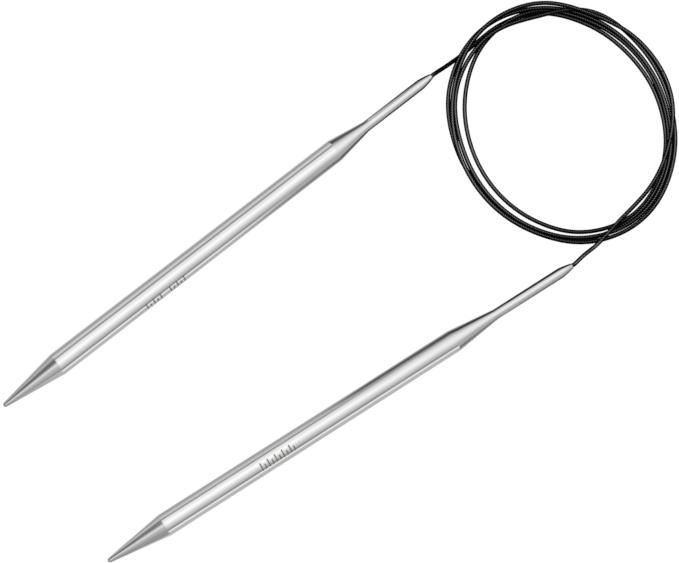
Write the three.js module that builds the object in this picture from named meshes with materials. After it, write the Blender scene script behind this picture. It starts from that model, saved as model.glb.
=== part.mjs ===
// A fixed circular knitting needle: two hollow metal needles joined by one long nylon-covered steel cable that
// lies wound in a coil. Millimetres, +Z up; the origin is on the table under the middle of the whole object, and
// everything is laid out round the middle of the coil, which stands at COIL_MIDDLE.
// Needle "a" is joined to the coil's first turn, on the table, and needle "b" to its last turn, on top.
// The cable is cut into stretches where it bends, so that each end of the coil can unroll.
import * as THREE from "three";

// Needles. A needle's own axis is +Y, from the tip to the mouth where the cable leaves it.
const NEEDLE_RADIUS = 3.25;
const NEEDLE_SIDES = 24;
const TIP_RADIUS = 0.7;
const POINT_LENGTH = 18;
const SHAFT_LENGTH = 94;
const SHAFT_BORE_RADIUS = 2.7;
const SPIGOT_RADIUS = 2.62;
const SPIGOT_LENGTH = 8;
const NECK_RADIUS = 1.5;
const MOUTH_LENGTH = 4.2;
const MOUTH_RADIUS = 0.8;
const MOUTH_TAPER = 0.05;
const MOUTH_TAPER_LENGTH = 1.4;
const ROUND_STEPS = 4;
const SEAM = 0.02;
const AXIS_HEIGHT = NEEDLE_RADIUS * Math.cos(Math.PI / NEEDLE_SIDES);
const SHAFT_END = POINT_LENGTH + SHAFT_LENGTH;

// mouth: where the needle's metal ends; heading: degrees from +X, tip to mouth; cone and neck: lengths.
const NEEDLES = {
  a: { mouth: [-38.8, 12.1], heading: 37.65, cone: 11.5, neck: 19.5 },
  b: { mouth: [3.05, -40.74], heading: 31, cone: 14.5, neck: 22.5 },
};

// Cable: a nylon jacket over a steel wire core, held in each neck by a crimped brass tube.
const CABLE_RADIUS = 0.625;
const CABLE_SIDES = 8;
const CORE_RADIUS = 0.36;
const CORE_SIDES = 6;
const CORE_GAP = 0.03;
const JACKET_BORE_RADIUS = 0.655;
const JACKET_DEPTH = 5.7;
const NECK_BORE_RADIUS = 1;
const CRIMP_RADIUS = 0.95;
const CRIMP_LENGTH = 13;
const CORE_DEPTH = JACKET_DEPTH + CRIMP_LENGTH + 1.5;

const COIL_MIDDLE = [60.42, 43, 0];

// Coil: one row a turn; each value is the cable's distance from the middle, every 30 degrees, clockwise.
const COIL_STEP = 30;
const FIRST_BEARING = 165;
const COIL_RADII = [
  [35.8, 33.3, 32.3, 30.2, 29.8, 31.5, 33.8, 34.5, 32.0, 28.8, 27.3, 27.5],
  [29.3, 31.8, 32.7, 30.9, 30.9, 32.1, 34.0, 34.8, 33.9, 32.0, 30.8, 32.2],
  [34.6, 35.2, 33.4, 31.6, 31.1, 32.2, 34.3, 35.4, 33.6, 31.4, 30.5, 30.9],
  [32.8, 32.7, 30.9, 33.0, 32.4, 33.0, 35.0, 36.3, 34.9, 32.6, 32.1, 32.7],
  [34.0, 35.3, 34.4, 31.9, 32.7, 33.4, 31.9, 31.3],
].flat();
const COIL_FROM = 37.5;
const COIL_TO = 1650;
const SAMPLE_STEP = 7.5;
const FINE_STEPS = 16;
const LOWEST = 0.65;
const PITCH = 1.3;

// Leads: the points that the cable passes between the coil and each mouth, and where it flexes as a needle lifts.
const STRAIGHT_REACH = 1;
const LIFT_REACH = 3;
const LEAD_A_WAYPOINTS = [
  [-33.6, 15.6, 2.35],
  [-29.1, 18.8, 1.55],
];
const LEAD_B_WAYPOINTS = [
  [16.2, -27.9, 6.5],
  [12.5, -31.6, 6.65],
  [9.3, -34.8, 6.4],
  [6.2, -37.8, 4.3],
];

// Bends: three at each end, a bend's width apart, and a hairline gap at each cut.
const BENDS = 3;
const BEND_DEGREES = 35;
const LAST_BEND_A = 120;
const FIRST_BEND_B = 1560;
const CUT = 0.06;
const COIL_SEGMENT = 6.9;
const END_SEGMENT = 3.2;

const MATERIALS = {
  needle: { color: 0xc4c6c8, roughness: 0.22, metalness: 1 },
  jacket: { color: 0x101113, roughness: 0.35, metalness: 0 },
  core: { color: 0x8f9296, roughness: 0.4, metalness: 1 },
  crimp: { color: 0xb08d4f, roughness: 0.4, metalness: 1 },
};

const needleGroups = new THREE.Group();
const cableGroup = new THREE.Group();
const part = new THREE.Group();
part.add(needleGroups, cableGroup);
for (const group of part.children) group.position.set(...COIL_MIDDLE);

function addPiece(group, name, geometry, look) {
  const mesh = new THREE.Mesh(geometry, new THREE.MeshStandardMaterial(MATERIALS[look]));
  mesh.name = name;
  group.add(mesh);
}

// A turned piece from [radius, distance along the axis] pairs. Half a side's turn puts a flat underneath.
function turned(outline, sides = NEEDLE_SIDES) {
  const profile = outline.map(([radius, along]) => new THREE.Vector2(radius, along));
  return new THREE.LatheGeometry(profile, sides, Math.PI / sides);
}

// The solid point: a rounded tip, a cone tangent to it, and the spigot that plugs the shaft.
function pointOutline() {
  const reach = Math.hypot(NEEDLE_RADIUS, POINT_LENGTH - TIP_RADIUS);
  const slope = Math.atan2(NEEDLE_RADIUS, POINT_LENGTH - TIP_RADIUS) - Math.asin(TIP_RADIUS / reach);
  const tip = new THREE.Path().absarc(0, TIP_RADIUS, TIP_RADIUS, -Math.PI / 2, -slope, false);
  return [
    [0, 0],
    ...tip.getPoints(ROUND_STEPS).slice(1).map((p) => [p.x, p.y]),
    [NEEDLE_RADIUS, POINT_LENGTH],
    [SPIGOT_RADIUS, POINT_LENGTH],
    [SPIGOT_RADIUS, POINT_LENGTH + SPIGOT_LENGTH],
    [0, POINT_LENGTH + SPIGOT_LENGTH],
  ];
}

function shaftOutline() {
  const start = POINT_LENGTH + SEAM;
  return [
    [SHAFT_BORE_RADIUS, start],
    [NEEDLE_RADIUS, start],
    [NEEDLE_RADIUS, SHAFT_END],
    [SHAFT_BORE_RADIUS, SHAFT_END],
    [SHAFT_BORE_RADIUS, start],
  ];
}

// The neck: a spigot into the shaft, the rear cone, the thin neck and its rounded mouth, bored through.
function neckOutline({ cone, neck }) {
  const start = SHAFT_END - SPIGOT_LENGTH;
  const shoulder = SHAFT_END + SEAM;
  const neckStart = SHAFT_END + cone;
  const neckEnd = neckStart + neck;
  const mouth = neckEnd + MOUTH_LENGTH;
  const nose = new THREE.QuadraticBezierCurve(
    new THREE.Vector2(NECK_RADIUS, neckEnd),
    new THREE.Vector2(NECK_RADIUS - MOUTH_TAPER, neckEnd + MOUTH_TAPER_LENGTH),
    new THREE.Vector2(MOUTH_RADIUS, mouth),
  );
  return [
    [NECK_BORE_RADIUS, start],
    [SPIGOT_RADIUS, start],
    [SPIGOT_RADIUS, shoulder],
    [NEEDLE_RADIUS, shoulder],
    [NECK_RADIUS, neckStart],
    ...nose.getPoints(ROUND_STEPS).map((p) => [p.x, p.y]),
    [JACKET_BORE_RADIUS, mouth],
    [JACKET_BORE_RADIUS, mouth - JACKET_DEPTH - SEAM],
    [NECK_BORE_RADIUS, mouth - JACKET_DEPTH - SEAM],
    [NECK_BORE_RADIUS, start],
  ];
}

function crimpOutline({ cone, neck }) {
  const end = SHAFT_END + cone + neck + MOUTH_LENGTH - JACKET_DEPTH - 2 * SEAM;
  const bore = CORE_RADIUS + CORE_GAP;
  return [
    [bore, end - CRIMP_LENGTH],
    [CRIMP_RADIUS, end - CRIMP_LENGTH],
    [CRIMP_RADIUS, end],
    [bore, end],
    [bore, end - CRIMP_LENGTH],
  ];
}

function headingOf({ heading }) {
  const angle = THREE.MathUtils.degToRad(heading);
  return new THREE.Vector3(Math.cos(angle), Math.sin(angle), 0);
}

function mouthOf({ mouth: [x, y] }) {
  return new THREE.Vector3(x, y, AXIS_HEIGHT);
}

function addNeedle(letter) {
  const size = NEEDLES[letter];
  const length = SHAFT_END + size.cone + size.neck + MOUTH_LENGTH;
  const group = new THREE.Group();
  group.position.copy(mouthOf(size)).addScaledVector(headingOf(size), -length);
  group.rotation.z = THREE.MathUtils.degToRad(size.heading - 90);
  addPiece(group, `needle_${letter}_point`, turned(pointOutline()), "needle");
  addPiece(group, `needle_${letter}_shaft`, turned(shaftOutline()), "needle");
  addPiece(group, `needle_${letter}_neck`, turned(neckOutline(size)), "needle");
  addPiece(group, `needle_${letter}_crimp`, turned(crimpOutline(size), CORE_SIDES * 2), "crimp");
  needleGroups.add(group);
}

// The cable's middle line. Travel is the angle wound since the coil's first bearing, in degrees.
const radiusCurve = new THREE.SplineCurve(
  COIL_RADII.map((radius, index) => new THREE.Vector2(index * COIL_STEP, radius)),
);

function coilPoint(travel) {
  const radius = radiusCurve.getPoint(travel / COIL_STEP / (COIL_RADII.length - 1)).y;
  const bearing = THREE.MathUtils.degToRad(FIRST_BEARING - travel);
  const height = LOWEST + (PITCH * (travel - COIL_FROM)) / 360;
  return new THREE.Vector3(radius * Math.cos(bearing), radius * Math.sin(bearing), height);
}

function inLineWith(size, distance) {
  return mouthOf(size).addScaledVector(headingOf(size), distance);
}

const coilTravels = [];
for (let travel = COIL_FROM; travel <= COIL_TO; travel += SAMPLE_STEP) coilTravels.push(travel);
const leadIn = [-CORE_DEPTH, -JACKET_DEPTH, 0, STRAIGHT_REACH].map((d) => inLineWith(NEEDLES.a, d));
const leadOut = [STRAIGHT_REACH, 0, -JACKET_DEPTH, -CORE_DEPTH].map((d) => inLineWith(NEEDLES.b, d));
const cablePoints = [
  ...leadIn,
  ...LEAD_A_WAYPOINTS.map((p) => new THREE.Vector3(...p)),
  ...coilTravels.map(coilPoint),
  ...LEAD_B_WAYPOINTS.map((p) => new THREE.Vector3(...p)),
  ...leadOut,
];
const cable = new THREE.CatmullRomCurve3(cablePoints, false, "centripetal");
cable.arcLengthDivisions = (cablePoints.length - 1) * FINE_STEPS;
const lengths = cable.getLengths();
const cableLength = lengths.at(-1);
const firstCoilPoint = leadIn.length + LEAD_A_WAYPOINTS.length;

// Distances along the cable: of one of its points, and of a travel angle in the coil.
const lengthAtPoint = (index) => lengths[index * FINE_STEPS];
const lengthAtTravel = (travel) => {
  const place = (travel - COIL_FROM) / SAMPLE_STEP;
  const before = lengthAtPoint(firstCoilPoint + Math.floor(place));
  const after = lengthAtPoint(firstCoilPoint + Math.ceil(place));
  return THREE.MathUtils.lerp(before, after, place % 1);
};

class Stretch extends THREE.Curve {
  constructor(from, to) {
    super();
    this.from = from;
    this.to = to;
  }

  getPoint(t) {
    return cable.getPointAt(THREE.MathUtils.lerp(this.from, this.to, t) / cableLength);
  }
}

function polygon(radius, sides) {
  return Array.from({ length: sides }, (_, i) => {
    const angle = (2 * Math.PI * i) / sides;
    return new THREE.Vector2(radius * Math.cos(angle), radius * Math.sin(angle));
  });
}

function swept(shape, from, to, segment) {
  return new THREE.ExtrudeGeometry(shape, {
    steps: Math.ceil((to - from) / segment),
    extrudePath: new Stretch(from, to),
    bevelEnabled: false,
  });
}

const jacketShape = new THREE.Shape(polygon(CABLE_RADIUS, CABLE_SIDES));
jacketShape.holes.push(new THREE.Path(polygon(CORE_RADIUS + CORE_GAP, CORE_SIDES)));
const coreShape = new THREE.Shape(polygon(CORE_RADIUS, CORE_SIDES));

function addCable(name, from, to, segment = END_SEGMENT) {
  addPiece(cableGroup, `${name}_jacket`, swept(jacketShape, from + CUT / 2, to - CUT / 2, segment), "jacket");
  addPiece(cableGroup, `${name}_core`, swept(coreShape, from + CUT / 2, to - CUT / 2, segment), "core");
}

// Inside a neck the core goes on through the crimp, past the end of the jacket.
function addCableEnd(name, liftLength, towardsMiddle) {
  const tip = towardsMiddle ? 0 : cableLength;
  const jacketEnd = towardsMiddle ? CORE_DEPTH - JACKET_DEPTH : cableLength - CORE_DEPTH + JACKET_DEPTH;
  const cut = towardsMiddle ? liftLength - CUT / 2 : liftLength + CUT / 2;
  const span = (end) => [Math.min(end, cut), Math.max(end, cut)];
  addPiece(cableGroup, `${name}_jacket`, swept(jacketShape, ...span(jacketEnd), END_SEGMENT), "jacket");
  addPiece(cableGroup, `${name}_core`, swept(coreShape, ...span(tip), END_SEGMENT), "core");
}

addNeedle("a");
addNeedle("b");

const liftA = CORE_DEPTH + LIFT_REACH;
const liftB = cableLength - CORE_DEPTH - LIFT_REACH;
const bendsA = Array.from({ length: BENDS }, (_, i) => lengthAtTravel(LAST_BEND_A - BEND_DEGREES * i));
const bendsB = Array.from({ length: BENDS }, (_, i) => lengthAtTravel(FIRST_BEND_B + BEND_DEGREES * i));
addCable("cable_coil", bendsA[0], bendsB[0], COIL_SEGMENT);
for (let i = 1; i < BENDS; i++) {
  addCable(`cable_a_bend_${i}`, bendsA[i], bendsA[i - 1]);
  addCable(`cable_b_bend_${i}`, bendsB[i - 1], bendsB[i]);
}
addCable("cable_a_lead", liftA, bendsA[BENDS - 1]);
addCable("cable_b_lead", bendsB[BENDS - 1], liftB);
addCableEnd("cable_a_end", liftA, true);
addCableEnd("cable_b_end", liftB, false);

export default part;
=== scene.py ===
"""A fixed circular knitting needle: two nickel-plated needles joined by a coiled, nylon-covered steel cable.

Lengths are in millimetres and are turned into metres where a mesh or a transform is made. Needle "a" is
joined to the coil's first turn, on the table, and needle "b" to its last turn, on top. At the coil's ends
each stretch of cable is one piece that spans one hinge and reaches halfway to the next one.
"""
import math

import bmesh
import bpy
import numpy as np
from mathutils import Matrix, Vector


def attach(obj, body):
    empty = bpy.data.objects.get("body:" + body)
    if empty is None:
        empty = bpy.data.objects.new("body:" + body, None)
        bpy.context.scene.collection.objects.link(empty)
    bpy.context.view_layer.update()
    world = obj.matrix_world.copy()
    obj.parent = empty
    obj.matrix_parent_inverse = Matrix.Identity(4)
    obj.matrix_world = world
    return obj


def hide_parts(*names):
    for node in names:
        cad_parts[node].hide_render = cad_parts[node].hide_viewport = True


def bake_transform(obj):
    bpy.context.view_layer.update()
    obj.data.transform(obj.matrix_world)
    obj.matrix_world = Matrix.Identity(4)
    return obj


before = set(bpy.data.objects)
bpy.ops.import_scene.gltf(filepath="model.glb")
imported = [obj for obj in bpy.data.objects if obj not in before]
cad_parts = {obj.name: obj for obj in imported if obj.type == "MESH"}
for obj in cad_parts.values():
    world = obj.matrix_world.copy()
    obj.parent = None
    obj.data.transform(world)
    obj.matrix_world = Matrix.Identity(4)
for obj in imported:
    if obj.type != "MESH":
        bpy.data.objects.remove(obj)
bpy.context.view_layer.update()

MM = 0.001

# The coil's middle, from which the needles and the cable are laid out.
COIL_MIDDLE = np.array((60.42, 43, 0))

# Needles, measured along their own axis from the tip.
NEEDLE_RADIUS = 3.25
NEEDLE_SIDES = 128
CAD_NEEDLE_SIDES = 24
TIP_RADIUS = 0.7
POINT_LENGTH = 18
SHAFT_LENGTH = 94
SHAFT_END = POINT_LENGTH + SHAFT_LENGTH
SHAFT_BORE_RADIUS = 2.7
SPIGOT_RADIUS = 2.62
SPIGOT_LENGTH = 8
NECK_RADIUS = 1.5
NECK_BORE_RADIUS = 1
MOUTH_LENGTH = 4.2
MOUTH_RADIUS = 0.8
RIM_CHAMFER = 0.015
POINT_FILLET = 5
NECK_FILLET = 3
NOSE_REACH = 1.4
NOSE_DROP = 0.05
LIP_RADIUS = 0.1
LIP_DROP = 0.07
LIP_LENGTH = 0.4
SHARP_DEGREES = 28
# The CAD's needles lie on one of their flats.
AXIS_HEIGHT = NEEDLE_RADIUS * math.cos(math.pi / CAD_NEEDLE_SIDES)
NEEDLES = {
    "a": {"mouth": (-38.8, 12.1), "heading": 37.65, "cone": 11.5, "neck": 19.5},
    "b": {"mouth": (3.05, -40.74), "heading": 31, "cone": 14.5, "neck": 22.5},
}

# Cable and what holds it. Columns: lines of points along each strand. Crown: how round the strands' tops are.
CABLE_RADIUS = 0.625
CORE_RADIUS = 0.34
STRANDS = 6
STRAND_PITCH = 4.7
JACKET_STRAND_DEPTH = 0.055
JACKET_COLUMNS = 6
JACKET_CROWN = 0.9
CORE_STRAND_DEPTH = 0.08
CORE_COLUMNS = 4
CORE_CROWN = 1
JACKET_BORE_RADIUS = 0.655
JACKET_DEPTH = 5.7
CRIMP_LENGTH = 13
CRIMP_RADIUS = 0.95
CRIMP_GAP = 0.05
CRIMP_GROOVES = 3
CRIMP_GROOVE_DEPTH = 0.16
CRIMP_STEPS = 52
CORE_DEPTH = JACKET_DEPTH + CRIMP_LENGTH + 1.5

# Coil: one row a turn; each value is the cable's distance from the middle, every 30 degrees, clockwise.
COIL_STEP = 30
FIRST_BEARING = 165
COIL_RADII = (
    (35.8, 33.3, 32.3, 30.2, 29.8, 31.5, 33.8, 34.5, 32.0, 28.8, 27.3, 27.5),
    (29.3, 31.8, 32.7, 30.9, 30.9, 32.1, 34.0, 34.8, 33.9, 32.0, 30.8, 32.2),
    (34.6, 35.2, 33.4, 31.6, 31.1, 32.2, 34.3, 35.4, 33.6, 31.4, 30.5, 30.9),
    (32.8, 32.7, 30.9, 33.0, 32.4, 33.0, 35.0, 36.3, 34.9, 32.6, 32.1, 32.7),
    (34.0, 35.3, 34.4, 31.9, 32.7, 33.4, 31.9, 31.3),
)
# The part of it that the cable follows and the step between its points, in degrees travelled; the turns climb.
COIL_FROM = 37.5
COIL_TO = 1650
SAMPLE_STEP = 7.5
SPLINE_STEPS = 16
LOWEST = 0.65
PITCH = 1.3

# Leads, between the coil and each mouth, which the cable leaves in line with the neck.
STRAIGHT_REACH = 1
LIFT_REACH = 3
LEAD_A_WAYPOINTS = ((-33.6, 15.6, 2.35), (-29.1, 18.8, 1.55))
LEAD_B_WAYPOINTS = ((16.2, -27.9, 6.5), (12.5, -31.6, 6.65), (9.3, -34.8, 6.4), (6.2, -37.8, 4.3))

# Bends: the hinges of each end, as travel round the coil in degrees.
BENDS = 3
BEND_DEGREES = 35
LAST_BEND_A = 120
FIRST_BEND_B = 1560
BEND_REACH = 9
LIFT_BEND_REACH = 2.6

RING_SPACING = 0.24
CORE_RING_SPACING = 0.5
MERGE_DISTANCE = 0.001

# Marks: strokes etched round the shaft. places: where each row starts, along the needle; turn: degrees from
# the top.
MARKS = {
    "a": {"places": (45.4, 53.2), "strokes": 5, "turn": 47},
    "b": {"places": (47.6,), "strokes": 10, "turn": 4},
}
MARK_SPACING = 1.15
MARK_WIDTH = 0.36
MARK_HEIGHTS = (2.4, 1.5)
MARK_RISE = 0.006
MARK_STEPS = 6

# Each needle's reflections are turned a little, because its lights are nearer than the surround can be:
# degrees round its axis, and a lean towards its tip.
PARALLAX = {"a": (-3.25, -0.013), "b": (3.25, 0)}

# Light. Strips: brightness at angles across the needles, in degrees from straight up, negative on the far
# side; for reflections that stay square to the needles, and ones that lean towards their tips or rear ends.
# The levels follow the brightness measured across the shafts of a photographed pair, then adjusted.
SURROUND = 1.0
FLOOR_GLOW = 1.06
FLOOR_GLOW_SHARE = 0.86
STRIP_GAIN = 1.4
STRIPS = {
    "middle": (
        (-150, 0.65), (-126, 0.36), (-110, 0.52), (-93, 0.80), (-82, 0.83), (-75, 0.55), (-69, 0.30),
        (-63, 0.36), (-52, 1.0), (-34, 1.09), (-15, 1.32), (2, 1.1), (18, 0.88), (34, 0.66), (47, 0.50),
        (54, 0.27), (61, 0.34), (69, 0.95), (76, 1.22), (84, 0.86), (93, 0.58), (104, 0.64), (122, 0.52),
        (150, 0.8),
    ),
    "tip": (
        (-150, 0.65), (-124, 0.38), (-104, 0.5), (-90, 0.64), (-79, 0.42), (-68, 0.22), (-56, 0.17),
        (-40, 0.22), (-30, 0.42), (-20, 0.82), (-8, 0.95), (4, 0.72), (16, 0.6), (32, 0.54), (46, 0.42),
        (58, 0.38), (72, 0.42), (86, 0.32), (98, 0.3), (112, 0.4), (130, 0.6), (150, 0.8),
    ),
    "rear": (
        (-150, 0.5), (-128, 0.22), (-113, 0.07), (-100, 0.09), (-90, 0.18), (-78, 0.42), (-62, 0.72),
        (-46, 0.92), (-30, 1.04), (-14, 1.12), (0, 1.04), (12, 0.94), (24, 0.76), (36, 0.58), (52, 0.52),
        (66, 0.52), (77, 0.4), (87, 0.25), (98, 0.2), (110, 0.28), (128, 0.5), (150, 0.75),
    ),
}
TIP_LEANS = (-7, -14)
REAR_LEANS = (10.8, 12.8)
# Beyond these leans the strips fade to a share of their brightness.
FADE_LEANS = (62, 35)
FADED_SHARE = 0.5
# The table is in the coil's shade between these distances from its middle, so the cable's flanks stay dark.
SHADE_REACH = (48, 62)
SHADE = 0.15
FLOOR_REACH = 2000

# Camera: in millimetres, looking down and tilted a little to the right.
CAMERA_PLACE = (-97.6, -2.2, 405.9)
CAMERA_TILT = -13
CAMERA_LENS = 79.53
CAMERA_SENSOR = 36
CAMERA_CLIP_START = 10


# ---------------------------------------------------------------- meshes


def make_object(name, points, faces, smooth=True):
    mesh = bpy.data.meshes.new(name)
    mesh.from_pydata([tuple(p) for p in points], [], faces)
    mesh.polygons.foreach_set("use_smooth", [smooth] * len(mesh.polygons))
    mesh.update()
    obj = bpy.data.objects.new(name, mesh)
    bpy.context.scene.collection.objects.link(obj)
    return obj


def ring_faces(rings, sides, closed=False):
    """Quads between neighbouring rings of points; closed also joins the last ring to the first."""
    faces = []
    for ring in range(rings if closed else rings - 1):
        after = (ring + 1) % rings
        for side in range(sides):
            beside = (side + 1) % sides
            near, far = ring * sides, after * sides
            faces.append((near + side, near + beside, far + beside, far + side))
    return faces


def sharpen(obj):
    obj.data.set_sharp_from_angle(angle=math.radians(SHARP_DEGREES))


# ---------------------------------------------------------------- cable path


def heading_of(letter):
    angle = math.radians(NEEDLES[letter]["heading"])
    return np.array((math.cos(angle), math.sin(angle), 0))


def mouth_of(letter):
    return COIL_MIDDLE + np.array((*NEEDLES[letter]["mouth"], AXIS_HEIGHT))


def radius_at(travel):
    """Distance from the coil's middle, on a spline through COIL_RADII."""
    radii = [radius for row in COIL_RADII for radius in row]
    place = travel / COIL_STEP
    index = min(int(place), len(radii) - 1)
    t = place - index
    before, here = radii[max(index - 1, 0)], radii[index]
    after, beyond = radii[min(index + 1, len(radii) - 1)], radii[min(index + 2, len(radii) - 1)]
    slope_here, slope_after = (after - before) / 2, (beyond - here) / 2
    return (
        (2 * here - 2 * after + slope_here + slope_after) * t**3
        + (-3 * here + 3 * after - 2 * slope_here - slope_after) * t**2
        + slope_here * t
        + here
    )


def coil_point(travel):
    radius = radius_at(travel)
    bearing = math.radians(FIRST_BEARING - travel)
    height = LOWEST + PITCH * (travel - COIL_FROM) / 360
    return COIL_MIDDLE + (radius * math.cos(bearing), radius * math.sin(bearing), height)


def centripetal_spline(points, steps):
    """Points of a centripetal Catmull-Rom spline, steps of them between each pair that it passes through."""
    points = np.array(points, float)
    padded = np.vstack((2 * points[0] - points[1], points, 2 * points[-1] - points[-2]))
    p0, p1, p2, p3 = padded[:-3], padded[1:-2], padded[2:-1], padded[3:]
    gap = np.sqrt(np.linalg.norm(np.diff(padded, axis=0), axis=1))[:, None]
    g0, g1, g2 = gap[:-2], gap[1:-1], gap[2:]
    slope1 = ((p1 - p0) / g0 - (p2 - p0) / (g0 + g1) + (p2 - p1) / g1) * g1
    slope2 = ((p2 - p1) / g1 - (p3 - p1) / (g1 + g2) + (p3 - p2) / g2) * g1
    t = (np.arange(steps) / steps)[None, :, None]
    p1, p2, slope1, slope2 = (v[:, None, :] for v in (p1, p2, slope1, slope2))
    cubic = 2 * p1 - 2 * p2 + slope1 + slope2
    square = -3 * p1 + 3 * p2 - 2 * slope1 - slope2
    curve = cubic * t**3 + square * t**2 + slope1 * t + p1
    return np.vstack((curve.reshape(-1, 3), points[-1]))


class Cable:
    """The cable's middle line, at any distance from the wire's end in needle a, with sides that don't twist."""

    def __init__(self):
        depths = (-CORE_DEPTH, -JACKET_DEPTH, 0, STRAIGHT_REACH)
        lead_in = [mouth_of("a") + heading_of("a") * depth for depth in depths]
        lead_in += [COIL_MIDDLE + place for place in LEAD_A_WAYPOINTS]
        lead_out = [COIL_MIDDLE + place for place in LEAD_B_WAYPOINTS]
        lead_out += [mouth_of("b") + heading_of("b") * depth for depth in reversed(depths)]
        travels = np.arange(COIL_FROM, COIL_TO + SAMPLE_STEP / 2, SAMPLE_STEP)
        coil = [coil_point(travel) for travel in travels]
        self.first_coil = len(lead_in)
        self.line = centripetal_spline(lead_in + coil + lead_out, SPLINE_STEPS)
        gaps = np.linalg.norm(np.diff(self.line, axis=0), axis=1)
        self.along = np.concatenate(([0], np.cumsum(gaps)))
        self.length = self.along[-1]
        self.side = self.untwisted_sides()

    def at_travel(self, travel):
        place = self.first_coil + (travel - COIL_FROM) / SAMPLE_STEP
        return np.interp(place * SPLINE_STEPS, np.arange(len(self.along)), self.along)

    def hinges(self, letter):
        """Distances of one end's hinges, from the coil outwards: its bends, and the one outside the mouth."""
        lift = CORE_DEPTH + LIFT_REACH
        if letter == "a":
            return [*(self.at_travel(LAST_BEND_A - BEND_DEGREES * i) for i in range(BENDS)), lift]
        return [*(self.at_travel(FIRST_BEND_B + BEND_DEGREES * i) for i in range(BENDS)), self.length - lift]

    def untwisted_sides(self):
        tangents = self.tangent(self.along)
        side = np.cross(tangents[0], (0, 0, 1))
        sides = []
        for tangent in tangents:
            side = side - tangent * side.dot(tangent)
            side = side / np.linalg.norm(side)
            sides.append(side)
        return np.array(sides)

    def spread(self, values, distance):
        return np.stack([np.interp(distance, self.along, values[:, axis]) for axis in range(3)], axis=-1)

    def point(self, distance):
        return self.spread(self.line, distance)

    def tangent(self, distance):
        slopes = np.gradient(self.line, self.along, axis=0)
        direction = self.spread(slopes, distance)
        return direction / np.linalg.norm(direction, axis=-1, keepdims=True)

    def tube(self, start, end, spacing, outline):
        """Rings of points round the line from start to end; outline gives angles and radii at distances."""
        count = max(2, int(round((end - start) / spacing)) + 1)
        distance = np.linspace(start, end, count)
        angle, radius = outline(distance[:, None])
        side = self.spread(self.side, distance)
        tangent = self.tangent(distance)
        side = side - tangent * np.sum(side * tangent, axis=1, keepdims=True)
        side /= np.linalg.norm(side, axis=1, keepdims=True)
        up = np.cross(tangent, side)
        offset = np.cos(angle)[..., None] * side[:, None] + np.sin(angle)[..., None] * up[:, None]
        return self.point(distance)[:, None] + offset * radius[..., None]


# ---------------------------------------------------------------- materials


class Nodes:
    """A node tree, with short ways to add nodes and join them."""

    def __init__(self, tree):
        self.nodes = tree.nodes
        self.links = tree.links

    def add(self, kind, **settings):
        node = self.nodes.new(kind)
        for key, value in settings.items():
            if key in node.inputs:
                node.inputs[key].default_value = value
            else:
                setattr(node, key, value)
        return node

    def join(self, output, target):
        self.links.new(output, target)

    def calculation(self, kind, operation, values):
        """A node that works on values, each a constant or another node's output."""
        node = self.add(kind, operation=operation)
        for slot, value in zip(node.inputs, values):
            if isinstance(value, bpy.types.NodeSocket):
                self.join(value, slot)
            else:
                slot.default_value = value
        return node.outputs

    def math(self, operation, *values):
        return self.calculation("ShaderNodeMath", operation, values)["Value"]

    def vector_math(self, operation, *values, result="Vector"):
        return self.calculation("ShaderNodeVectorMath", operation, values)[result]

    def remap(self, value, low, high, from_low=0.0, from_high=1.0, shape="LINEAR"):
        node = self.add("ShaderNodeMapRange", interpolation_type=shape)
        ends = {"From Min": from_low, "From Max": from_high, "To Min": low, "To Max": high}
        for key, number in ends.items():
            node.inputs[key].default_value = number
        self.join(value, node.inputs["Value"])
        return node.outputs["Result"]

    def ramp(self, value, *stops):
        node = self.add("ShaderNodeValToRGB")
        elements = node.color_ramp.elements
        while len(elements) < len(stops):
            elements.new(0.5)
        for element, (position, colour) in zip(elements, stops):
            element.position = position
            element.color = (*colour, 1)
        self.join(value, node.inputs["Fac"])
        return node.outputs["Color"]

    def mixed(self, first, second, share):
        node = self.add("ShaderNodeMix", data_type="RGBA")
        self.join(share, node.inputs["Factor"])
        self.join(first, node.inputs["A"])
        self.join(second, node.inputs["B"])
        return node.outputs["Result"]

    def mixed_shader(self, first, second, share):
        """A blend of two shaders, whose share is a constant or another node's output."""
        node = self.add("ShaderNodeMixShader")
        if isinstance(share, bpy.types.NodeSocket):
            self.join(share, node.inputs["Fac"])
        else:
            node.inputs["Fac"].default_value = share
        self.join(first, node.inputs[1])
        self.join(second, node.inputs[2])
        return node.outputs["Shader"]


class Shader(Nodes):
    """A material's nodes."""

    def __init__(self, name):
        self.material = bpy.data.materials.new(name)
        self.material.use_nodes = True
        super().__init__(self.material.node_tree)
        self.surface = self.nodes["Principled BSDF"]

    def set(self, **inputs):
        for key, value in inputs.items():
            self.surface.inputs[key.replace("_", " ")].default_value = value

    def feed(self, output, name):
        self.join(output, self.surface.inputs[name])

    def stretched(self, scale):
        """The object's own coordinates, stretched by scale."""
        mapping = self.add("ShaderNodeMapping", Scale=scale)
        self.join(self.add("ShaderNodeTexCoord").outputs["Object"], mapping.inputs["Vector"])
        return mapping.outputs["Vector"]

    def noise(self, scale, detail):
        node = self.add("ShaderNodeTexNoise", Scale=1.0, Detail=detail)
        self.join(self.stretched(scale), node.inputs["Vector"])
        return node.outputs["Fac"]

    def bump(self, height, strength, distance, after=None):
        node = self.add("ShaderNodeBump", Strength=strength, Distance=distance)
        self.join(height, node.inputs["Height"])
        if after:
            self.join(after, node.inputs["Normal"])
        return node.outputs["Normal"]


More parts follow.
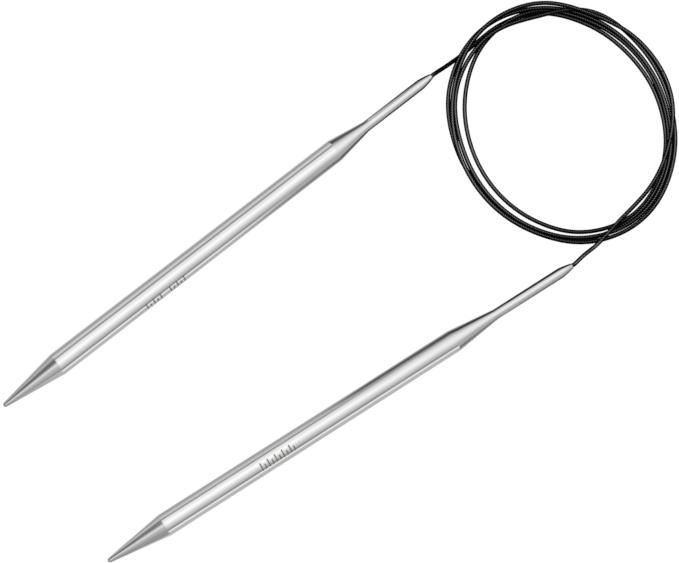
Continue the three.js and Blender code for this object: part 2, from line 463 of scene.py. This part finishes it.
def nickel_material(name, parallax):
    """Bright nickel plate with fine marks round the axis and faint cloudiness."""
    shader = Shader(name)
    shader.set(Metallic=1.0)
    marks = shader.noise((9000, 260, 260), 3.0)
    cloud = shader.noise((90, 260, 260), 4.0)
    shader.feed(shader.ramp(cloud, (0.3, (0.73, 0.73, 0.73)), (0.7, (0.78, 0.78, 0.775))), "Base Color")
    shader.feed(shader.remap(cloud, 0.07, 0.14, 0.3, 0.7), "Roughness")
    normal = shader.bump(marks, 0.06, 0.00002)
    normal = shader.bump(cloud, 0.03, 0.0001, normal)
    shader.feed(turned_normal(shader, normal, *parallax), "Normal")
    return shader.material


def turned_normal(shader, normal, turn, lean):
    """The normal turned round the needle's axis, by degrees, and leant along it."""
    to_world = shader.add("ShaderNodeVectorTransform", convert_from="OBJECT", convert_to="WORLD")
    to_world.inputs["Vector"].default_value = (1, 0, 0)
    axis = to_world.outputs["Vector"]
    turner = shader.add("ShaderNodeVectorRotate", Angle=math.radians(turn))
    shader.join(normal, turner.inputs["Vector"])
    shader.join(axis, turner.inputs["Axis"])
    leant = shader.vector_math("MULTIPLY_ADD", axis, (lean, lean, lean), turner.outputs["Vector"])
    return shader.vector_math("NORMALIZE", leant)


def speckled_material(name, metallic, scale, detail, colours, roughness, span=(0.0, 1.0)):
    """Even speckles of two colours; the roughness changes over the span of the speckles' values."""
    shader = Shader(name)
    shader.set(Metallic=metallic)
    speckle = shader.noise((scale, scale, scale), detail)
    shader.feed(shader.ramp(speckle, (0.3, colours[0]), (0.7, colours[1])), "Base Color")
    shader.feed(shader.remap(speckle, *roughness, *span), "Roughness")
    return shader.material


def etch_material():
    colours = ((0.12, 0.11, 0.1), (0.25, 0.235, 0.22))
    return speckled_material("etched_mark", 0.3, 6000, 2.0, colours, (0.45, 0.6))


def wire_material():
    colours = ((0.42, 0.43, 0.45), (0.6, 0.61, 0.62))
    return speckled_material("strand_steel", 1.0, 4000, 2.0, colours, (0.28, 0.45))


def brass_material():
    colours = ((0.52, 0.38, 0.17), (0.74, 0.58, 0.3))
    return speckled_material("crimp_brass", 1.0, 700, 5.0, colours, (0.25, 0.5), (0.3, 0.7))


def jacket_material():
    """Black nylon drawn tight over the strands, darker in the furrows.

    It shines in a narrow line where it faces the viewer, and most on the strands' crests: a painted highlight.
    Its darker colour in the furrows is painted shade.
    """
    shader = Shader("black_nylon")
    relief = shader.add("ShaderNodeAttribute", attribute_name="relief").outputs["Fac"]
    # Painted shade: the base colour is darkest in the furrows and lightest on the crests.
    colour = shader.ramp(relief, (0.0, (0.0005, 0.0005, 0.0005)), (1.0, (0.002, 0.002, 0.0022)))
    shader.feed(colour, "Base Color")
    shader.feed(shader.remap(shader.noise((220, 220, 220), 3.0), 0.1, 0.17, 0.35, 0.65), "Roughness")
    shader.feed(shader.bump(shader.noise((3500, 3500, 3500), 2.0), 0.15, 0.00002), "Normal")
    # Painted highlight: the shine is strongest where the surface faces the viewer and on the crests, weakest in
    # the furrows.
    facing = shader.add("ShaderNodeLayerWeight", Blend=0.5).outputs["Facing"]
    painted_facing_highlight = shader.remap(facing, 3.6, 0.03, 0.005, 0.075)
    crest = shader.remap(relief, 0.35, 1.1, 0.25, 0.9)
    shader.feed(shader.math("MULTIPLY", painted_facing_highlight, crest), "Specular IOR Level")
    return shader.material


def floor_material():
    """Pale matte paper, lit through from below. Shiny surfaces see the studio in it, shaded by the coil."""
    shader = Shader("pale_paper")
    grain = shader.noise((900, 900, 900), 3.0)
    shader.feed(shader.ramp(grain, (0.3, (0.93,) * 3), (0.7, (0.95,) * 3)), "Base Color")
    shader.set(Roughness=0.9, Specular_IOR_Level=0.0)
    backlight = shader.add("ShaderNodeEmission", Strength=FLOOR_GLOW).outputs["Emission"]
    paper = shader.mixed_shader(shader.surface.outputs["BSDF"], backlight, FLOOR_GLOW_SHARE)

    glow, strength = reflected_studio(shader)
    place = shader.add("ShaderNodeNewGeometry").outputs["Position"]
    distance = shader.vector_math("DISTANCE", place, tuple(COIL_MIDDLE * MM), result="Value")
    lit = shader.remap(distance, SHADE, 1, *(reach * MM for reach in SHADE_REACH))
    mirrored = shader.add("ShaderNodeEmission")
    shader.join(glow, mirrored.inputs["Color"])
    shader.join(shader.math("MULTIPLY", strength, lit), mirrored.inputs["Strength"])

    glossy = shader.add("ShaderNodeLightPath").outputs["Is Glossy Ray"]
    seen = shader.mixed_shader(paper, mirrored.outputs["Emission"], glossy)
    shader.join(seen, shader.nodes["Material Output"].inputs["Surface"])
    return shader.material


# ---------------------------------------------------------------- needles


def arc(centre, radius, start, end, steps):
    """[along, radius] points of an arc in a turned outline; angles in degrees from the axis."""
    angles = np.radians(np.linspace(start, end, steps + 1))
    return [(centre[0] + radius * math.cos(a), centre[1] + radius * math.sin(a)) for a in angles]


def straight(start, end, steps):
    start, end = np.array(start), np.array(end)
    return [tuple(start + (end - start) * k / steps) for k in range(1, steps + 1)]


def point_outline():
    """Rounded tip, straight cone that eases into the shaft's width, and the spigot inside the shaft."""
    ease = (POINT_LENGTH, NEEDLE_RADIUS - POINT_FILLET)
    run, rise = ease[0] - TIP_RADIUS, ease[1]
    widening = math.asin((POINT_FILLET - TIP_RADIUS) / math.hypot(run, rise))
    slope = math.degrees(math.atan2(rise, run) + widening)
    tip = arc((TIP_RADIUS, 0), TIP_RADIUS, 180, 90 + slope, 12)
    fillet = arc(ease, POINT_FILLET, 90 + slope, 90, 8)
    return [
        *tip,
        *straight(tip[-1], fillet[0], 10),
        *fillet[1:],
        (POINT_LENGTH, SPIGOT_RADIUS),
        (POINT_LENGTH + SPIGOT_LENGTH, SPIGOT_RADIUS),
        (POINT_LENGTH + SPIGOT_LENGTH, 0),
    ]


def shaft_outline():
    outer = [(POINT_LENGTH + RIM_CHAMFER, NEEDLE_RADIUS)]
    outer += straight(outer[0], (SHAFT_END - RIM_CHAMFER, NEEDLE_RADIUS), 30)
    return [
        (POINT_LENGTH, SHAFT_BORE_RADIUS),
        (POINT_LENGTH, NEEDLE_RADIUS - RIM_CHAMFER),
        *outer,
        (SHAFT_END, NEEDLE_RADIUS - RIM_CHAMFER),
        (SHAFT_END, SHAFT_BORE_RADIUS),
    ]


def neck_outline(letter):
    """Spigot, rear cone, thin neck, and a mouth that narrows to the cable."""
    neck_start = SHAFT_END + NEEDLES[letter]["cone"]
    neck_end = neck_start + NEEDLES[letter]["neck"]
    mouth = neck_end + MOUTH_LENGTH
    drop = math.degrees(math.atan2(NEEDLE_RADIUS - NECK_RADIUS, NEEDLES[letter]["cone"]))
    fillet = arc((SHAFT_END, NEEDLE_RADIUS - NECK_FILLET), NECK_FILLET, 90, 90 - drop, 5)
    cone_end = (neck_start, NECK_RADIUS)
    lip_middle = mouth - LIP_RADIUS
    nose_start, nose_end = np.array((neck_end, NECK_RADIUS)), np.array((lip_middle, MOUTH_RADIUS))
    nose_control = np.array((neck_end + NOSE_REACH, NECK_RADIUS - NOSE_DROP))
    nose = [
        tuple((1 - t) ** 2 * nose_start + 2 * t * (1 - t) * nose_control + t * t * nose_end)
        for t in np.linspace(0, 1, 13)
    ]
    lip = arc((lip_middle, MOUTH_RADIUS - LIP_DROP), LIP_RADIUS, 80, -80, 8)
    return [
        (SHAFT_END - SPIGOT_LENGTH, NECK_BORE_RADIUS),
        (SHAFT_END - SPIGOT_LENGTH, SPIGOT_RADIUS),
        (SHAFT_END, SPIGOT_RADIUS),
        *fillet,
        *straight(fillet[-1], cone_end, 14),
        *straight(cone_end, nose[0], 12),
        *nose[1:],
        *lip,
        (mouth - LIP_LENGTH, JACKET_BORE_RADIUS),
        (mouth - JACKET_DEPTH, JACKET_BORE_RADIUS),
        (mouth - JACKET_DEPTH, NECK_BORE_RADIUS),
    ]


def needle_length(letter):
    return SHAFT_END + NEEDLES[letter]["cone"] + NEEDLES[letter]["neck"] + MOUTH_LENGTH


def crimp_outline(letter):
    """A brass tube with three pressed grooves."""
    end = needle_length(letter) - JACKET_DEPTH - CRIMP_GAP
    bore = CORE_RADIUS + CRIMP_GAP
    outer = []
    for distance in np.linspace(0, CRIMP_LENGTH, CRIMP_STEPS + 1):
        turn = distance / CRIMP_LENGTH * CRIMP_GROOVES * 2 * math.pi
        press = max(0, -math.cos(turn)) ** 3 * CRIMP_GROOVE_DEPTH
        outer.append((end - CRIMP_LENGTH + distance, CRIMP_RADIUS - press))
    return [(end - CRIMP_LENGTH, bore), *outer, (end, bore)]


def needle_transform(letter):
    """Places a piece made along +X from its tip, with +Z up."""
    tip = (mouth_of(letter) - heading_of(letter) * needle_length(letter)) * MM
    heading = math.radians(NEEDLES[letter]["heading"])
    return Matrix.Translation(Vector(tip)) @ Matrix.Rotation(heading, 4, "Z")


def turned(name, outline, closed):
    """A piece turned from (along, radius) points; closed joins the outline's end to its start."""
    angles = 2 * np.pi * np.arange(NEEDLE_SIDES) / NEEDLE_SIDES
    circle = np.stack((np.zeros(NEEDLE_SIDES), np.cos(angles), np.sin(angles)), axis=-1)
    rings = [circle * radius + (along, 0, 0) for along, radius in outline]
    points = np.concatenate(rings) * MM
    obj = make_object(name, points, ring_faces(len(outline), NEEDLE_SIDES, closed))
    tidy_mesh(obj)
    sharpen(obj)
    return obj


def tidy_mesh(obj):
    """Merges the points that lie on the axis and faces every face outwards."""
    edit = bmesh.new()
    edit.from_mesh(obj.data)
    bmesh.ops.remove_doubles(edit, verts=edit.verts, dist=MERGE_DISTANCE * MM)
    bmesh.ops.recalc_face_normals(edit, faces=edit.faces)
    edit.to_mesh(obj.data)
    edit.free()


def add_needle_piece(letter, name, outline, material, closed=True):
    obj = turned(f"needle_{letter}_{name}_model", outline, closed)
    obj.data.materials.append(material)
    obj.matrix_world = needle_transform(letter)
    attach(obj, f"needle_{letter}")
    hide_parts(f"needle_{letter}_{name}")


def stroke_points(along, top, height):
    """Four points at each step of one stroke: a thin band just proud of the shaft and bent round it."""
    bottom = top - math.degrees(height / NEEDLE_RADIUS)
    points = []
    for angle in np.radians(np.linspace(bottom, top, MARK_STEPS + 1)):
        for side, rise in ((-1, -MARK_RISE), (-1, MARK_RISE), (1, MARK_RISE), (1, -MARK_RISE)):
            out = NEEDLE_RADIUS + rise
            points.append((along + side * MARK_WIDTH / 2, -out * math.sin(angle), out * math.cos(angle)))
    return points


def add_marks(letter, material):
    """Rows of strokes, long and short in turn, that all start at the same height."""
    marks = MARKS[letter]
    top = marks["turn"] + math.degrees(MARK_HEIGHTS[0] / 2 / NEEDLE_RADIUS)
    points, faces = [], []
    for place in marks["places"]:
        for stroke in range(marks["strokes"]):
            first = len(points)
            points += stroke_points(place + stroke * MARK_SPACING, top, MARK_HEIGHTS[stroke % 2])
            faces += [tuple(first + i for i in face) for face in ring_faces(MARK_STEPS + 1, 4)]
            last = first + 4 * MARK_STEPS
            faces += [(first, first + 1, first + 2, first + 3), (last, last + 3, last + 2, last + 1)]
    obj = make_object(f"needle_{letter}_marks_model", np.array(points) * MM, faces)
    tidy_mesh(obj)
    sharpen(obj)
    obj.data.materials.append(material)
    obj.matrix_world = needle_transform(letter)
    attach(obj, f"needle_{letter}")


def add_needle(letter, brass, etched):
    nickel = nickel_material(f"bright_nickel_{letter}", PARALLAX[letter])
    add_needle_piece(letter, "point", point_outline(), nickel, closed=False)
    add_needle_piece(letter, "shaft", shaft_outline(), nickel)
    add_needle_piece(letter, "neck", neck_outline(letter), nickel)
    add_needle_piece(letter, "crimp", crimp_outline(letter), brass)
    add_marks(letter, etched)


# ---------------------------------------------------------------- cable pieces


def strand_shape(radius, depth, columns_each, crown):
    """The outline of a tube of strands: angles and radii at a distance along it.

    Each column of points runs along a strand, so the strands stay crisp.
    """
    columns = columns_each * STRANDS
    local = 2 * np.pi * np.arange(columns)[None, :] / columns
    furrow = 1 - np.abs(np.cos(local * STRANDS / 2)) ** crown

    def shape(distance):
        lean = 2 * np.pi * distance / STRAND_PITCH
        return local + lean, radius - depth * furrow + 0 * distance

    return shape


jacket_shape = strand_shape(CABLE_RADIUS, JACKET_STRAND_DEPTH, JACKET_COLUMNS, JACKET_CROWN)
core_shape = strand_shape(CORE_RADIUS, CORE_STRAND_DEPTH, CORE_COLUMNS, CORE_CROWN)


def tube_object(name, cable, ends, spacing, shape, material):
    rings = cable.tube(*ends, spacing, shape)
    count, sides = rings.shape[:2]
    middles = (rings[0].mean(0)[None], rings[-1].mean(0)[None])
    points = np.concatenate((rings.reshape(-1, 3), *middles)) * MM
    faces = ring_faces(count, sides)
    first, last = count * sides, count * sides + 1
    for side in range(sides):
        beside = (side + 1) % sides
        faces.append((first, beside, side))
        faces.append((last, (count - 1) * sides + side, (count - 1) * sides + beside))
    obj = make_object(name, points, faces)
    obj.data.materials.append(material)
    return obj


def mark_relief(obj, shape):
    """Stores how high each point stands on a strand, 0 in a furrow and 1 on a crest."""
    _, radius = shape(np.zeros((1, 1)))
    crest = (radius[0] - radius[0].min()) / (radius[0].max() - radius[0].min())
    rings_count = (len(obj.data.vertices) - 2) // len(crest)
    values = np.concatenate((np.tile(crest, rings_count), (0.5, 0.5)))
    attribute = obj.data.attributes.new("relief", "FLOAT", "POINT")
    attribute.data.foreach_set("value", values.astype(np.float32))


def add_stretch(cable, name, ends, core_ends, jacket, wire):
    """One stretch of cable: its jacket and the wire inside."""
    shell = tube_object(f"{name}_jacket_model", cable, ends, RING_SPACING, jacket_shape, jacket)
    mark_relief(shell, jacket_shape)
    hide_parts(f"{name}_jacket")
    core = tube_object(f"{name}_core_model", cable, core_ends, CORE_RING_SPACING, core_shape, wire)
    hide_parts(f"{name}_core")
    return shell, core


def add_cable_end(cable, letter, jacket, wire):
    """The four stretches from the coil to a needle, each with one hinge. Returns where they start."""
    hinges = cable.hinges(letter)
    inward = 1 if letter == "a" else -1
    names = [f"cable_{letter}_{part}" for part in ("bend_1", "bend_2", "lead", "end")]
    middles = [(hinges[i] + hinges[i + 1]) / 2 for i in range(BENDS)]
    coil_end = hinges[0] + inward * abs(hinges[0] - middles[0])
    wire_end = 0 if letter == "a" else cable.length
    jacket_end = wire_end + inward * (CORE_DEPTH - JACKET_DEPTH)
    cuts = [coil_end, *middles, jacket_end]
    core_cuts = [coil_end, *middles, wire_end]
    for i, name in enumerate(names):
        ends, core_ends = sorted(cuts[i : i + 2]), sorted(core_cuts[i : i + 2])
        reach = min(abs(hinges[i] - cuts[i]), abs(hinges[i] - cuts[i + 1]), BEND_REACH)
        if i == BENDS:
            reach = LIFT_BEND_REACH
        start = cable.point(hinges[i] + inward * reach) * MM
        end = cable.point(hinges[i] - inward * reach) * MM
        for piece in add_stretch(cable, name, ends, core_ends, jacket, wire):
            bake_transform(piece)
    return coil_end


def add_cable(jacket, wire):
    """Nine stretches: four at each end, and the coil between them."""
    cable = Cable()
    coil_ends = [add_cable_end(cable, letter, jacket, wire) for letter in NEEDLES]
    for piece in add_stretch(cable, "cable_coil", coil_ends, coil_ends, jacket, wire):
        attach(piece, "coil")


# ---------------------------------------------------------------- scene


def add_floor():
    corners = [(-1, -1, 0), (1, -1, 0), (1, 1, 0), (-1, 1, 0)]
    floor = make_object("floor", np.array(corners) * FLOOR_REACH * MM, [(0, 1, 2, 3)], smooth=False)
    floor.data.materials.append(floor_material())


def reflected_studio(nodes):
    """What shiny surfaces mirror: strip lights parallel to the needles, with dark gaps between them.

    Directions are split into the angle across the needles, with its stops in STRIPS, and the lean along them.
    """
    incoming = nodes.add("ShaderNodeNewGeometry").outputs["Incoming"]
    heading = math.radians(sum(size["heading"] for size in NEEDLES.values()) / len(NEEDLES))

    def along(vector):
        return nodes.vector_math("DOT_PRODUCT", incoming, vector, result="Value")

    def strips(name):
        stops = [(degrees / 360 + 0.5, (level / STRIP_GAIN,) * 3) for degrees, level in STRIPS[name]]
        return nodes.ramp(turn, *stops)

    sideways = along((-math.sin(heading), math.cos(heading), 0))
    across = nodes.math("ARCTAN2", sideways, along((0, 0, -1)))
    turn = nodes.math("ADD", nodes.math("DIVIDE", across, 2 * math.pi), 0.5)
    lean = nodes.math("ARCSINE", along((-math.cos(heading), -math.sin(heading), 0)))
    lean = nodes.math("MULTIPLY", lean, 180 / math.pi)
    tip_share = nodes.remap(lean, 0, 1, *TIP_LEANS, shape="SMOOTHSTEP")
    rear_share = nodes.remap(lean, 0, 1, *REAR_LEANS, shape="SMOOTHSTEP")
    glow = nodes.mixed(strips("middle"), strips("tip"), tip_share)
    glow = nodes.mixed(glow, strips("rear"), rear_share)
    full = nodes.remap(nodes.math("ABSOLUTE", lean), 0, 1, *FADE_LEANS, shape="SMOOTHSTEP")
    strength = nodes.math("MULTIPLY_ADD", full, 1 - FADED_SHARE, FADED_SHARE)
    return glow, nodes.math("MULTIPLY", strength, STRIP_GAIN)


def add_world():
    """An even white surround, in which shiny surfaces see the studio's strip lights instead."""
    world = bpy.data.worlds.new("studio")
    bpy.context.scene.world = world
    world.use_nodes = True
    nodes = Nodes(world.node_tree)
    even = nodes.nodes["Background"]
    even.inputs["Color"].default_value = (1, 1, 1, 1)
    even.inputs["Strength"].default_value = SURROUND
    strips = nodes.add("ShaderNodeBackground")
    glow, strength = reflected_studio(nodes)
    nodes.join(glow, strips.inputs["Color"])
    nodes.join(strength, strips.inputs["Strength"])
    glossy = nodes.add("ShaderNodeLightPath").outputs["Is Glossy Ray"]
    seen = nodes.mixed_shader(even.outputs["Background"], strips.outputs["Background"], glossy)
    nodes.join(seen, nodes.nodes["World Output"].inputs["Surface"])


def add_camera():
    camera = bpy.data.cameras.new("camera")
    camera.sensor_width = CAMERA_SENSOR
    camera.lens = CAMERA_LENS
    camera.clip_start = CAMERA_CLIP_START * MM
    obj = bpy.data.objects.new("camera", camera)
    obj.location = [value * MM for value in CAMERA_PLACE]
    obj.rotation_euler = (0, math.radians(CAMERA_TILT), 0)
    bpy.context.scene.collection.objects.link(obj)
    bpy.context.scene.camera = obj


def main():
    brass = brass_material()
    etched = etch_material()
    for letter in NEEDLES:
        add_needle(letter, brass, etched)
    add_cable(jacket_material(), wire_material())
    add_floor()
    add_world()
    add_camera()
    bpy.context.scene.view_settings.view_transform = "Standard"


main()
